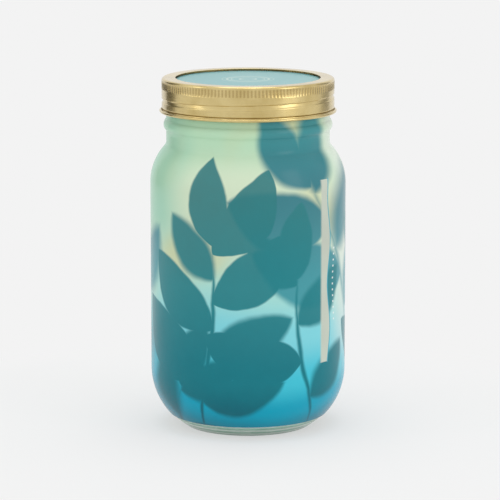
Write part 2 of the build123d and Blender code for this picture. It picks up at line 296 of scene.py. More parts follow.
class Recipe:
    """The nodes of one material or of one group of nodes, added one after another."""

    def __init__(self, tree: NodeTree, made: Material | None = None) -> None:
        """Keeps the tree that the nodes go into, and its material."""
        self.tree, self.made = tree, made

    @classmethod
    def material(cls, name: str) -> "Recipe":
        """Starts the nodes of a new material with that name."""
        made = bpy.data.materials.new(name)
        made.use_nodes = True
        made.node_tree.nodes.clear()
        return cls(made.node_tree, made)

    def node(self, kind: str, values: dict | None = None, **options) -> Node:
        """Adds one node.

        Args:
            kind: The node's type, without the start that all types share.
            values: What goes into its inputs, by name or number. A colour is three amounts.
            options: Its own settings.

        Returns:
            The node.
        """
        made = self.tree.nodes.new("ShaderNode" + kind)
        for key, value in options.items():
            setattr(made, key, value)
        for key, value in (values or {}).items():
            entry = made.inputs[key]
            if isinstance(value, Value):
                self.tree.links.new(value.socket, entry)
            else:
                entry.default_value = (*value, 1) if entry.type == "RGBA" else value
        return made

    def out(self, kind: str, values: dict | None = None, output: int | str = 0, **options) -> Value:
        """Adds one node, and gives what comes out of it."""
        return Value(self, self.node(kind, values, **options).outputs[output])

    def math(self, operation: str, *values: Amount) -> Value:
        """Adds a sum of up to three amounts."""
        return self.out("Math", dict(enumerate(values)), operation=operation)

    def most(self, values: Iterable[Amount]) -> Value:
        """Gives the largest of some amounts."""
        return reduce(lambda first, second: self.math("MAXIMUM", first, second), values)

    def outside(self, value: Value, low: float, high: float) -> Value:
        """Gives how far a value is outside a range, below zero inside it."""
        return self.most((value - high, low - value))

    def vector(self, operation: str, *values: Value | tuple) -> Value:
        """Adds a sum of vectors."""
        return self.out("VectorMath", dict(enumerate(values)), operation=operation)

    def length(self, place: Value) -> Value:
        """Gives the distance of a place from the origin."""
        return self.out("VectorMath", {0: place}, 1, operation="LENGTH")

    def parts(self, place: Value) -> list[Value]:
        """Splits a place into its three numbers."""
        return [Value(self, output) for output in self.node("SeparateXYZ", {0: place}).outputs]

    def stretched(self, place: Value, scale: tuple, shift: tuple = (0, 0, 0)) -> Value:
        """Stretches a place, and then shifts it."""
        return self.out("Mapping", {"Vector": place, "Location": shift, "Scale": scale})

    def object_place(self, scale: tuple = (1, 1, 1)) -> Value:
        """Gives the place on the object in metres, stretched by a scale."""
        return self.stretched(self.out("TexCoord", output="Object"), scale)

    def noise(self, place: Value, scale: float, detail: float = 3.0, rough: float = 0.5) -> Value:
        """Adds a soft random pattern, from 0 to 1."""
        values = {"Vector": place, "Scale": scale, "Detail": detail, "Roughness": rough}
        return self.out("TexNoise", values)

    def cells(self, place: Value, scale: float, output: str = "Distance") -> Value:
        """Adds a pattern of random cells."""
        return self.out("TexVoronoi", {"Vector": place, "Scale": scale}, output)

    def between(
        self,
        value: Value,
        low: Amount,
        high: Amount,
        to_low: float = 0.0,
        to_high: float = 1.0,
        kind: str = "SMOOTHSTEP",
    ) -> Value:
        """Adds a map of one range of values onto another, held at its ends."""
        values = {"Value": value, 1: low, 2: high, 3: to_low, 4: to_high}
        return self.out("MapRange", values, interpolation_type=kind, clamp=True)

    def ramp(self, value: Value, stops: Tones) -> Value:
        """Adds a run of colours, whose stops are places from 0 to 1 and amounts of light."""
        node = self.node("ValToRGB", {0: value})
        ramp = node.color_ramp
        ramp.interpolation = "EASE"
        for number, (place, colour) in enumerate((stops[0], stops[-1])):
            ramp.elements[number].position, ramp.elements[number].color = place, (*colour, 1)
        for place, colour in stops[1:-1]:
            ramp.elements.new(place).color = (*colour, 1)
        return Value(self, node.outputs[0])

    def mix(self, share: Amount, first: Value | Colour, second: Value | Colour) -> Value:
        """Mixes two colours."""
        return self.out("Mix", {0: share, 6: first, 7: second}, 2, data_type="RGBA")

    def bump(self, height: Value, depth: float, strength: float = 1.0, under: Value | None = None) -> Value:
        """Adds relief.

        Args:
            height: The relief's height, from 0 to 1.
            depth: Its full height in millimetres.
            strength: How much of it shows.
            under: The relief that it lies on.

        Returns:
            The surface's direction.
        """
        values = {"Height": height, "Distance": depth * MM, "Strength": strength}
        return self.out("Bump", values | ({"Normal": under} if under else {}))

    def principled(self, **values) -> Value:
        """Adds the main shader, with its inputs named with _ for a space."""
        return self.out("BsdfPrincipled", {key.replace("_", " "): value for key, value in values.items()})

    def shaders(self, share: Amount, first: Value, second: Value) -> Value:
        """Mixes two shaders."""
        return self.out("MixShader", {0: share, 1: first, 2: second})

    def ray(self, *kinds: str) -> Value:
        """Gives 1 for rays of any of the named kinds, and 0 for others."""
        path = self.node("LightPath")
        return self.most(Value(self, path.outputs[f"Is {kind} Ray"]) for kind in kinds)

    def surface(self, shader: Value) -> Material:
        """Ends the material with a shader, and gives the material."""
        self.node("OutputMaterial", {"Surface": shader})
        return self.made

    def plain(self, **values) -> Material:
        """Ends the material with the main shader alone, and gives the material."""
        return self.surface(self.principled(**values))


# ---------------------------------------------------------------- finishes


@dataclass(frozen=True)
class GreenGlass:
    """Clear pressed glass with the green of its iron."""

    tint: Colour = (0.90, 0.97, 0.93)
    clear_tint: Colour = (0.93, 0.98, 0.95)
    foot_h: float = 0.0064
    foot_fade: Point = (0.0055, 0.009)
    # painted reflections: the bright and dark bands of the foot, by height
    painted_foot_glints: Tones = (
        (0.0, linear(182, 198, 190)),
        (0.2, linear(236, 246, 238)),
        (0.36, linear(146, 192, 168)),
        (0.54, linear(242, 252, 242)),
        (0.7, linear(134, 182, 160)),
        (0.84, linear(182, 224, 202)),
        (0.96, linear(246, 252, 246)),
    )

    def material(self) -> Material:
        """Gives glass with the faint waves, the small seeds and a foot with painted reflections."""
        r = Recipe.material("green_glass")
        place = r.object_place()
        waves, seeds = r.noise(place, 60, 2, 0.4), r.cells(place, 320.0)
        relief = r.bump(waves, 0.12, 0.6)
        relief = r.bump(r.between(seeds, 0.02, 0.10), 0.02, 0.3, relief)
        glass = r.principled(Base_Color=self.tint, Roughness=0.02, IOR=1.5, Transmission_Weight=1.0, Normal=relief)
        up = r.parts(place)[2]
        # the foot's stipple is real and shows as rougher glass; its bright and dark bands are painted reflections
        streak = r.noise(r.object_place((1, 1, 9)), 190, 3, 0.65)
        level = up / self.foot_h + (streak - 0.5) * 0.22
        frost = r.principled(Base_Color=r.ramp(level, self.painted_foot_glints), Roughness=0.22, Normal=relief)
        glass = r.shaders(r.between(up, *self.foot_fade, 0.68, 0.05), glass, frost)
        clear = r.out("BsdfTransparent", {"Color": self.clear_tint})
        return r.surface(r.shaders(r.ray("Shadow", "Diffuse"), glass, clear))


@dataclass(frozen=True)
class GoldLacquer:
    """Satin gold lacquer over tinplate."""

    base: Colour = linear(221, 200, 140)
    deep: Colour = linear(196, 172, 108)
    # painted shade for the knurl's grooves
    knurl_painted_shade: Colour = linear(158, 130, 72)
    knurl_count: float = 150.0
    knurl_zone: Point = (0.1714, 0.1756)

    def material(self) -> Material:
        """Gives the metal, with the fine marks of rolling and painted shade in the knurl's grooves."""
        r = Recipe.material("gold_lacquer")
        place = r.object_place()
        cloud = r.noise(place, 45, 4, 0.6)
        rolled = r.noise(r.object_place((1, 1, 60)), 30, 4, 0.6)
        colour = r.mix(r.between(cloud, 0.35, 0.75), self.base, self.deep)
        colour = r.mix(r.between(rolled, 0.55, 0.8) * 0.25, colour, self.deep)
        # painted shade: a darker colour striped into the knurl's grooves round the band
        x, y, z = r.parts(place)
        turn = r.math("ARCTAN2", y, x) * self.knurl_count
        groove_shade_mask = 0.5 - r.math("COSINE", turn) * 0.5
        low, high = self.knurl_zone
        middle, half = (low + high) / 2, (high - low) / 2
        groove_shade_mask = groove_shade_mask * r.between(abs(z - middle), half - 0.0005, half, 0.6, 0.0)
        colour = r.mix(groove_shade_mask, colour, self.knurl_painted_shade)
        rough = rolled * 0.16 + 0.2
        relief = r.bump(rolled, 0.012, 0.35)
        relief = r.bump(r.noise(place, 2600, 2), 0.004, 0.4, relief)
        return r.plain(
            Base_Color=colour, Metallic=1.0, Roughness=rough, Normal=relief, Coat_Weight=0.6, Coat_Roughness=0.12
        )


@dataclass(frozen=True)
class Tinplate:
    """Clear-lacquered tinplate of the lid disc."""

    base: Colour = linear(214, 214, 206)

    def material(self) -> Material:
        """Gives the metal, with faint crystals of tin under the lacquer."""
        r = Recipe.material("lid_tin")
        place = r.object_place()
        colour = r.mix(0.06, self.base, r.cells(place, 260.0, "Color"))
        rough = r.between(r.noise(place, 400, 3), 0.3, 0.7, 0.24, 0.36, "LINEAR")
        relief = r.bump(r.noise(place, 900, 3), 0.006, 0.4)
        return r.plain(
            Base_Color=colour, Metallic=1.0, Roughness=rough, Normal=relief, Coat_Weight=0.4, Coat_Roughness=0.12
        )


@dataclass(frozen=True)
class SealCompound:
    """Soft sealing compound of the ring under the disc."""

    base: Colour = linear(222, 214, 198)
    dull: Colour = linear(196, 186, 168)

    def material(self) -> Material:
        """Gives the compound, with its fine cast skin."""
        r = Recipe.material("seal_compound")
        speckle = r.noise(r.object_place(), 700, 3, 0.6)
        colour = r.mix(r.between(speckle, 0.45, 0.8), self.base, self.dull)
        return r.plain(Base_Color=colour, Roughness=0.55, Normal=r.bump(speckle, 0.03, 0.4))


@dataclass(frozen=True)
class LabelPrint:
    """Aqua print on the round label. Each ring is a radius, half a width and a strength."""

    base: Colour = linear(98, 168, 170)
    pale: Colour = linear(136, 190, 188)
    # painted shadow of the band's flange, at the label's edge
    rim: Colour = linear(30, 78, 84)
    ink: Colour = linear(214, 228, 214)
    rings: tuple[tuple, ...] = ((4.2, 0.5, 0.55), (8.4, 0.25, 0.6), (10.6, 0.6, 0.5), (13.0, 0.2, 0.4))
    flange_shadow_zone: Point = (35.3, 36.3)

    def material(self) -> Material:
        """Gives the printed paper: a soft wash, faint rings round the middle and a painted shadow of the flange at its
        edge.
        """
        r = Recipe.material("label_print")
        place = r.object_place()
        wash = r.between(r.noise(place, 16, 2), 0.35, 0.7)
        radius = r.length(r.stretched(place, (1 / MM, 1 / MM, 0)))
        rings = r.most(
            r.between(abs(radius - middle), half - 0.12, half + 0.12, share, 0.0) for middle, half, share in self.rings
        )
        colour = r.mix(wash * 0.35, self.base, self.pale)
        colour = r.mix(rings, colour, self.ink)
        # painted shade: the label darkens towards its edge, where the flange would shade it
        colour = r.mix(r.between(radius, *self.flange_shadow_zone, 0.0, 0.85), colour, self.rim)
        fibre = r.noise(place, 1500, 3, 0.7)
        colour = r.mix(fibre * 0.05, colour, (0.9, 0.9, 0.9))
        relief = r.bump(fibre, 0.01, 0.3)
        return r.plain(Base_Color=colour, Roughness=0.42, Coat_Weight=0.25, Coat_Roughness=0.2, Normal=relief)


class Stroke(NamedTuple):
    """One leaf or stem of the print, on the sheet laid flat, turned by radians."""

    across: float
    up: float
    turn: float
    length: float
    width: float
    bend: float
    blur: float


@dataclass(frozen=True)
class Sprig:
    """A leafy twig of the print: a bent stem with leaves to both sides."""

    across: float
    up: float
    lean: float
    reach: float
    arch: float
    leaves: int
    leaf_l: float
    leaf_w: float
    spread: float
    blur: float
    stem_w: float = 2.6
    steps: int = 24

    def path(self) -> list[tuple[Vector, float]]:
        """Gives the places along the stem, each with the degrees that it heads there."""
        place = Vector((self.across, self.up))
        points = [(place.copy(), self.lean)]
        for step in range(self.steps):
            heading = self.lean + self.arch * (step + 0.5) / self.steps
            onward = Vector((cos(radians(heading)), sin(radians(heading))))
            place = place + onward * self.reach / self.steps
            points.append((place.copy(), heading))
        return points

    def leaf(self, at: Vector, heading: float, size: float, bend: float, blur: float) -> Stroke:
        """Gives one leaf that grows at a place, so large, bent and blurred."""
        return Stroke(at.x, at.y, radians(heading), self.leaf_l * size, self.leaf_w * size, bend, blur)

    def strokes(self) -> list[Stroke]:
        """Gives the stem and the leaves in the order that they grow."""
        points = self.path()
        chord = points[-1][0] - points[0][0]
        quarter = radians(self.arch / 4)
        sag = chord.length / 2 * sin(quarter) / cos(quarter)
        turn = atan2(chord.y, chord.x)
        grown = [Stroke(self.across, self.up, turn, chord.length, self.stem_w, -sag, self.blur)]
        for number in range(self.leaves):
            share = 0.22 + 0.72 * number / max(self.leaves - 1, 1)
            at, heading = points[round(share * self.steps)]
            side = 1 if number % 2 else -1
            chance = 0.5 + 0.5 * sin(self.across * 1.7 + number * 2.4)
            size = (1 - 0.3 * abs(share - 0.45)) * (0.82 + 0.3 * chance)
            turned = heading + side * self.spread * (1.1 - 0.35 * share) + 14 * (chance - 0.5)
            blur = self.blur * (0.7 + 2.2 * (1 - chance) ** 2)
            grown.append(self.leaf(at, turned, size, side * (1 + 4 * chance), blur))
        return grown + [self.leaf(*points[-1], 0.8, 1.5, self.blur)]


@dataclass(frozen=True)
class FilmPrint:
    """The film's print: mint running down to blue, with the shadows of leafy twigs, a clear
    strip to see the water by, and plain ticks beside it. Places are on the flat sheet."""

    sheet_w: float = 308.5
    opening: tuple[float, float, float, float] = (40.6, 46.4, 37.8, 129.8)
    wave_l: float = 44.0
    wave_depth: float = 1.2
    near: tuple[Sprig, ...] = (
        Sprig(-30, 0, 72, 100, 22, 7, 54, 27, 56, 0.8),
        Sprig(40, 6, 116, 78, -30, 4, 48, 25, 58, 1.0),
        Sprig(-62, -12, 46, 46, 20, 3, 46, 25, 46, 1.8),
        Sprig(106, -4, 88, 110, 18, 7, 50, 24, 56, 0.9),
        Sprig(-120, -2, 82, 104, 24, 6, 52, 25, 56, 0.9),
        Sprig(142, 4, 98, 106, -26, 6, 50, 24, 55, 0.9),
    )
    far: tuple[Sprig, ...] = (
        Sprig(74, 44, 108, 92, 16, 5, 58, 33, 48, 3.0),
        Sprig(-100, -8, 70, 84, 20, 5, 54, 30, 55, 4.2),
        Sprig(-150, 20, 92, 104, -20, 5, 56, 30, 50, 4.5),
        Sprig(122, 12, 80, 100, 20, 5, 56, 30, 50, 4.5),
    )
    ground_tones: Tones = (
        (0.04, linear(0, 126, 150)),
        (0.13, linear(0, 164, 192)),
        (0.22, linear(66, 196, 216)),
        (0.34, linear(130, 214, 224)),
        (0.48, linear(172, 224, 214)),
        (0.62, linear(208, 228, 204)),
        (0.76, linear(214, 231, 202)),
        (0.88, linear(190, 227, 194)),
        (0.98, linear(178, 216, 174)),
    )
    far_tones: Tones = (
        (0.0, linear(0, 128, 150)),
        (0.45, linear(54, 148, 160)),
        (0.8, linear(2, 116, 132)),
        (1.0, linear(36, 138, 148)),
    )
    near_tones: Tones = (
        (0.04, linear(0, 90, 106)),
        (0.2, linear(0, 112, 124)),
        (0.5, linear(30, 126, 134)),
        (0.85, linear(54, 124, 126)),
    )
    cream: Colour = linear(212, 212, 164)
    green: Colour = linear(146, 206, 182)
    green_at: float = -62.0
    # painted sheen: a pale patch towards the right edge, where the film's reflection would whiten it
    painted_edge_sheen: Colour = linear(230, 236, 226)
    painted_sheen_at: float = 66.0
    mottle: Colour = linear(28, 150, 158)
    tick: Colour = linear(236, 244, 240)
    tick_at: Point = (51.0, 76.5)
    tick_size: Point = (0.55, 0.15)
    tick_gap: float = 3.0
    tick_half_run: float = 19.5
    outline: Colour = linear(70, 170, 190)
    frost: Colour = linear(228, 236, 220)

    def leaf_group(self) -> NodeTree:
        """Gives the group of nodes that says how far a leaf covers a place on the sheet."""
        group = bpy.data.node_groups.new("leaf_shadow", "ShaderNodeTree")
        names = ("Across", "Up", "Foot across", "Foot up", "Turn", "Length", "Width", "Bend", "Blur")
        for name in names:
            group.interface.new_socket(name=name, in_out="INPUT", socket_type="NodeSocketFloat")
        group.interface.new_socket(name="Cover", in_out="OUTPUT", socket_type="NodeSocketFloat")
        r = Recipe(group)
        given = group.nodes.new("NodeGroupInput").outputs
        x, y, foot_x, foot_y, turn, length, width, bend, blur = (Value(r, given[name]) for name in names)
        across, up = r.math("WRAP", x - foot_x, self.sheet_w / 2, -self.sheet_w / 2), y - foot_y
        level, tilt = r.math("COSINE", turn), r.math("SINE", turn)
        onward, aside = across * level + up * tilt, up * level - across * tilt
        along = onward / length
        belly = r.most((along * (1.0 - along) * 4.0, 0.0))
        side = aside - belly * bend
        reach = r.math("POWER", belly, 0.8) * (1.12 + along * -0.3) * (width * 0.5)
        past = r.most((abs(along - 0.5) - 0.5, 0.0))
        gap = abs(side) - reach + past * length
        cover = r.between(gap, blur * -1.0, blur, 1.0, 0.0)
        group.links.new(cover.socket, group.nodes.new("NodeGroupOutput").inputs["Cover"])
        return group

    def cover(self, r: Recipe, group: NodeTree, place: list[Value], sprigs: tuple[Sprig, ...]) -> Value:
        """Adds up how far the sprigs cover a place.

        Args:
            r: The material's nodes.
            group: The group that makes one leaf.
            place: The place on the flat sheet, whose first two numbers count.
            sprigs: The sprigs to print.

        Returns:
            How far leaves cover the place, from 0 to 1.
        """
        strokes = (stroke for sprig in sprigs for stroke in sprig.strokes())
        return r.most(r.out("Group", dict(enumerate((*place[:2], *stroke))), node_tree=group) for stroke in strokes)

    def material(self, side: FilmSide, group: NodeTree) -> Material:
        """Gives the film's look on one side.

        Args:
            side: The printed side or the white back.
            group: The group that makes one leaf.

        Returns:
            The material.
        """
        r = Recipe.material(side.value)
        place = r.object_place()
        sheet = r.stretched(r.out("UVMap", uv_map="wrap"), (self.sheet_w, MAP_H, 1), (-self.sheet_w / 2, 0, 0))
        spot = r.parts(sheet)
        left, right, low, high = self.opening
        wave = r.math("SINE", spot[1] * (2 * pi / self.wave_l)) * self.wave_depth
        edge = spot[0] - right - wave
        strip = r.most(((left - spot[0]) * 0.16, edge, r.outside(spot[1], low, high)))
        clear = r.between(strip, -0.15, 0.15, 1.0, 0.0)
        if side is FilmSide.BACK:
            print_colour = r.mix(r.noise(place, 40, 2), linear(226, 232, 224), linear(214, 226, 220))
        else:
            print_colour = self.artwork(r, group, place, sheet, wave, edge)
        grain = r.noise(place, 900, 3, 0.6)
        creases = r.noise(r.object_place((1, 1, 0.25)), 90, 3, 0.6)
        relief = r.bump(creases * r.between(spot[1], 128, 158), 0.18, 0.6)
        relief = r.bump(grain, 0.006, 0.35, relief)
        film = r.principled(
            Base_Color=print_colour,
            Roughness=r.between(grain, 0.3, 0.7, 0.19, 0.27, "LINEAR"),
            Specular_IOR_Level=0.2,
            Sheen_Weight=0.08,
            Sheen_Roughness=0.4,
            Normal=relief,
        )
        if side is FilmSide.BACK:
            film = r.shaders(0.5, film, r.out("BsdfTranslucent", {"Color": (0.86, 0.9, 0.87)}))
        passed = r.out("BsdfTransparent", {"Color": linear(226, 240, 234)})
        film = r.shaders(r.ray("Shadow") * 0.94, film, passed)
        open_film = r.out("BsdfTransparent", {"Color": (0.97, 0.98, 0.97)})
        if side is FilmSide.PRINTED:
            frost = r.out("BsdfDiffuse", {"Color": self.frost})
            open_film = r.shaders(r.between(r.noise(place, 14, 2), 0.3, 0.7, 0.62, 0.8), open_film, frost)
        gloss = r.out("BsdfGlossy", {"Roughness": 0.12})
        shine = r.out("Fresnel", {"IOR": 1.45}) * 0.8
        return r.surface(r.shaders(clear, film, r.shaders(shine, open_film, gloss)))

    def artwork(
        self, r: Recipe, group: NodeTree, place: Value, sheet: Value, wave: Value, edge: Value
    ) -> Value:
        """Draws the print, with a painted sheen near the right edge.

        Args:
            r: The material's nodes.
            group: The group that makes one leaf.
            place: The place on the object.
            sheet: The place on the flat sheet.
            wave: How far the clear strip's edge swings.
            edge: How far the place is past that edge.

        Returns:
            The print's colour.
        """
        across, up = r.parts(sheet)[:2]
        drift = (r.noise(place, 9, 1) - 0.5) * 34.0
        ground = r.ramp((up + drift) / MAP_H, self.ground_tones)
        cream = r.between(r.noise(place, 21, 1), 0.50, 0.68) * r.between(up, 58, 96)
        ground = r.mix(cream * 0.8, ground, self.cream)
        green = r.between(abs(across - self.green_at), 8, 34, 0.75, 0.0) * r.between(up, 84, 112)
        ground = r.mix(green, ground, self.green)
        # painted sheen: the ground turns pale towards the right edge
        painted_edge_sheen = r.between(abs(across - self.painted_sheen_at), 4, 24, 0.62, 0.0) * r.between(up, 20, 70)
        ground = r.mix(painted_edge_sheen, ground, self.painted_edge_sheen)
        wobble = r.out("TexNoise", {"Vector": place, "Scale": 70.0}, "Color")
        wobble = r.vector("MULTIPLY", r.vector("SUBTRACT", wobble, (0.5, 0.5, 0.5)), (2.4, 2.4, 0))
        spot = r.parts(r.vector("ADD", sheet, wobble))
        share = up / MAP_H
        far_colour, near_colour = r.ramp(share, self.far_tones), r.ramp(share, self.near_tones)
        near_colour = r.mix(r.noise(place, 120, 3, 0.6) * 0.22, near_colour, self.mottle)
        colour = r.mix(self.cover(r, group, spot, self.far) * 0.93, ground, far_colour)
        colour = r.mix(self.cover(r, group, spot, self.near) * 0.96, colour, near_colour)
        beside = abs(across - self.tick_at[0] - wave * 0.6) - self.tick_size[0]
        step = abs(r.math("FRACT", up / self.tick_gap) - 0.5) * self.tick_gap - self.tick_gap * self.tick_size[1]
        tick = r.most((beside, step, abs(up - self.tick_at[1]) - self.tick_half_run))
        colour = r.mix(r.between(tick, -0.1, 0.1, 0.85, 0.0), colour, self.tick)
        rim = r.most((abs(edge - 0.35), r.outside(up, *self.opening[2:])))
        return r.mix(r.between(rim, 0.25, 0.5, 0.9, 0.0), colour, self.outline)


@dataclass(frozen=True)
class MouldedPlastic:
    """Off-white plastic of the net pot."""

    base: Colour = linear(232, 233, 226)
    flow: Colour = linear(214, 217, 208)

    def material(self) -> Material:
        """Gives the plastic, with flow marks and the mould's fine grain."""
        r = Recipe.material("pot_plastic")
        place = r.object_place()
        flow = r.noise(r.object_place((1, 1, 0.3)), 60, 3)
        return r.plain(
            Base_Color=r.mix(flow * 0.35, self.base, self.flow),
            Roughness=r.between(flow, 0.3, 0.7, 0.38, 0.5, "LINEAR"),
            Subsurface_Weight=0.12,
            Subsurface_Radius=(0.004, 0.004, 0.004),
            Subsurface_Scale=1.0,
            Normal=r.bump(r.noise(place, 1400, 2), 0.012, 0.5),
        )


@dataclass(frozen=True)
class NeedledFelt:
    """Needled felt of the wick, damp at its foot."""

    base: Colour = linear(233, 228, 214)
    damp: Colour = linear(206, 199, 178)
    fluff: Colour = linear(250, 248, 240)
    damp_zone: Point = (0.02, 0.075)

    def material(self) -> Material:
        """Gives matted fibres with small needle holes."""
        r = Recipe.material("needled_felt")
        place = r.object_place()
        fibres = r.noise(r.object_place((1, 1, 0.35)), 1500, 5, 0.75)
        holes = r.cells(place, 620.0)
        colour = r.mix(r.between(r.parts(place)[2], *self.damp_zone, 1.0, 0.0), self.base, self.damp)
        colour = r.mix(fibres * 0.3, colour, self.fluff)
        relief = r.bump(r.between(holes, 0.0, 0.25), 0.25, 0.6)
        relief = r.bump(fibres, 0.35, 0.9, relief)
        return r.plain(Base_Color=colour, Roughness=0.95, Sheen_Weight=0.4, Sheen_Roughness=0.5, Normal=relief)


@dataclass(frozen=True)
class CoirFibre:
    """Pressed coconut fibre of the growing plug, laid in several directions."""

    base: Colour = linear(122, 84, 52)
    dark: Colour = linear(66, 43, 27)
    pale: Colour = linear(168, 126, 82)
    stretches: tuple[tuple, ...] = ((1, 14, 5), (12, 1, 6), (5, 9, 1))

    def material(self) -> Material:
        """Gives crossing fibres over dark crumbs."""
        r = Recipe.material("coir_fibre")
        place = r.object_place()
        bend = r.vector("MULTIPLY", r.out("TexNoise", {"Vector": place, "Scale": 120.0}, "Color"), (0.006,) * 3)
        bent = r.vector("ADD", place, bend)
        threads = r.most(
            r.between(r.noise(r.stretched(bent, stretch), 130, 3, 0.7), 0.52, 0.66) for stretch in self.stretches
        )
        crumbs = r.noise(place, 420, 5, 0.7)
        colour = r.mix(r.between(crumbs, 0.35, 0.7), self.dark, self.base)
        colour = r.mix(threads * 0.65, colour, self.pale)
        relief = r.bump(threads, 0.5, 0.9, r.bump(crumbs, 0.9, 0.8))
        return r.plain(Base_Color=colour, Roughness=0.92, Normal=relief)


@dataclass(frozen=True)
class PouchSkin:
    """Skin of a sachet: soft paper or sealed film."""

    name: str
    base: Colour
    pressed: Colour
    roughness: float
    fibre: float
    coat: float

    def material(self) -> Material:
        """Gives the skin, with its fibres and soft folds."""
        r = Recipe.material(self.name)
        place = r.object_place()
        fibre, folds = r.noise(place, 1300, 4, 0.7), r.noise(place, 190, 3, 0.6)
        colour = r.mix(r.between(fibre, 0.35, 0.75), self.base, self.pressed)
        relief = r.bump(fibre, self.fibre, 0.6, r.bump(folds, 0.35, 0.5))
        return r.plain(
            Base_Color=colour, Roughness=self.roughness, Coat_Weight=self.coat, Coat_Roughness=0.15, Normal=relief
        )


@dataclass(frozen=True)
class KraftPaper:
    """Kraft paper of the seed packet."""

    base: Colour = linear(196, 160, 114)
    dark: Colour = linear(160, 124, 82)
    fleck: Colour = linear(108, 78, 48)

    def material(self) -> Material:
        """Gives brown paper, with flecks and long fibres."""
        r = Recipe.material("kraft_paper")
        place = r.object_place()
        fibres = r.noise(r.object_place((1, 6, 1)), 420, 4, 0.7)
        flecks = r.between(r.noise(place, 1900, 2, 0.6), 0.66, 0.74)
        colour = r.mix(r.between(fibres, 0.35, 0.7), self.base, self.dark)
        colour = r.mix(flecks * 0.6, colour, self.fleck)
        return r.plain(Base_Color=colour, Roughness=0.86, Normal=r.bump(fibres, 0.05, 0.5))


# ---------------------------------------------------------------- sub-assemblies


@dataclass
class GlassJar:
    """The pressed glass jar, with its threaded finish, sealing bead and hollow foot."""

    body_r: float = 49.1
    neck_r: float = 41.0
    wall: float = 3.0
    foot_r: float = 32.5
    foot_ring_w: float = 3.5
    foot_edge: float = 0.7
    push_up: float = 2.6
    floor_t: float = 5.0
    floor_crown: float = 1.2
    inner_floor_r: float = 29.0
    heel_z: float = 29.5
    shoulder_z: float = 124.2
    shoulder_r: float = 26.5
    neck_fillet: float = 4.2
    bead_z: float = 153.4
    bead_r: float = 42.3
    bead_half_h: float = 2.8
    rim_z: float = 173.75
    lip: float = 1.2
    inner_lip: float = 0.8
    thread_h: float = 1.0
    thread_section_r: float = 1.3
    thread_turns: float = 1.25
    thread_drop: float = 3.0
    thread_front_z: float = 169.44
    stipple: float = 0.12
    columns: int = 240

    def __post_init__(self) -> None:
        """Works out the centres and turns of the jar's arcs, and where its thread winds."""
        reach = self.shoulder_r + self.neck_fillet
        swing = acos((reach - (self.body_r - self.neck_r)) / reach)
        self.swing, self.neck_z = degrees(swing), self.shoulder_z + reach * sin(swing)
        self.heel_r = arc_r(self.body_r - self.foot_r, self.heel_z)
        self.bead_arc = arc_r(self.bead_r - self.neck_r, self.bead_half_h)
        self.bead_centre = self.bead_r - self.bead_arc
        self.ring_r = self.foot_r - self.foot_ring_w
        low_z = self.rim_z - self.thread_drop - self.thread_turns * RISE
        low_deg = -90 + 360 * (low_z - self.thread_front_z) / RISE
        self.thread = Helix(low_deg, low_deg + 360 * self.thread_turns, low_z, self.neck_r)

    def outline(self) -> Outline:
        """Draws the jar's wall, from the middle of the foot out, up and back inside."""
        inside_r, mouth_r = self.body_r - self.wall, self.neck_r - self.wall
        inner_arc = arc_r(inside_r - self.inner_floor_r, self.heel_z - self.floor_t)
        crown_z = self.floor_t + self.floor_crown
        edge_r, shoulder_mid = self.foot_r - self.foot_edge, self.body_r - self.shoulder_r
        fillet_mid = self.neck_r + self.neck_fillet
        o = Outline(0, self.push_up)
        o.arc_to(self.ring_r, 0, 0, self.push_up - arc_r(self.push_up, self.ring_r), 14)
        o.line(edge_r, 0, 4)
        o.arc(edge_r, self.foot_edge, 65, 4)
        o.arc_to(self.body_r, self.heel_z, self.body_r - self.heel_r, self.heel_z, 22)
        o.line(self.body_r, self.shoulder_z, 12)
        o.arc(shoulder_mid, self.shoulder_z, self.swing, 18)
        o.arc_to(self.neck_r, self.neck_z, fillet_mid, self.neck_z, 8)
        o.line(self.neck_r, self.bead_z - self.bead_half_h, 3)
        o.arc_to(self.neck_r, self.bead_z + self.bead_half_h, self.bead_centre, self.bead_z, 14)
        o.line(self.neck_r, self.rim_z - self.lip, 56)
        o.arc(self.neck_r - self.lip, self.rim_z - self.lip, 90, 5)
        o.line(mouth_r + self.inner_lip, self.rim_z, 2)
        o.arc(mouth_r + self.inner_lip, self.rim_z - self.inner_lip, 90, 4)
        o.line(mouth_r, self.neck_z, 8)
        o.arc(fillet_mid, self.neck_z, self.swing, 9)
        o.arc_to(inside_r, self.shoulder_z, shoulder_mid, self.shoulder_z, 16)
        o.line(inside_r, self.heel_z, 12)
        o.arc_to(self.inner_floor_r, self.floor_t, inside_r - inner_arc, self.heel_z, 18)
        return o.arc_to(0, crown_z, 0, crown_z - arc_r(self.floor_crown, self.inner_floor_r), 12)

    def screw_thread(self, radius: float, angle: float, height: float) -> float:
        """Gives the radius of the finish where the raised thread winds round it.

        Args:
            radius: The plain radius.
            angle: Degrees from +X.
            height: The height.

        Returns:
            The radius with the thread.
        """
        if abs(radius - self.neck_r) > 0.01 or height < self.bead_z + 4:
            return radius
        away = hypot(*self.thread.offset(angle, height))
        if away >= self.thread_section_r:
            return radius
        crest = self.neck_r + self.thread_h - self.thread_section_r
        return max(radius, crest + sqrt(self.thread_section_r**2 - away**2))

    def build(self) -> Object:
        """Builds the jar, with its thread and the stippled ring that it stands on."""
        mesh = self.outline().turned(self.columns)
        round_out(mesh, self.screw_thread)
        for vert in mesh.verts:
            out = hypot(vert.co.x, vert.co.y)
            if vert.co.z < 0.01 and self.ring_r + 0.3 < out < self.foot_r - self.foot_edge - 0.1:
                step = round(degrees(atan2(vert.co.y, vert.co.x)) * self.columns / 360)
                vert.co.z += self.stipple * (step % 2)
        return finished(mesh, "jar_glass", [GreenGlass().material()], Body.JAR, "glass_jar", 60)


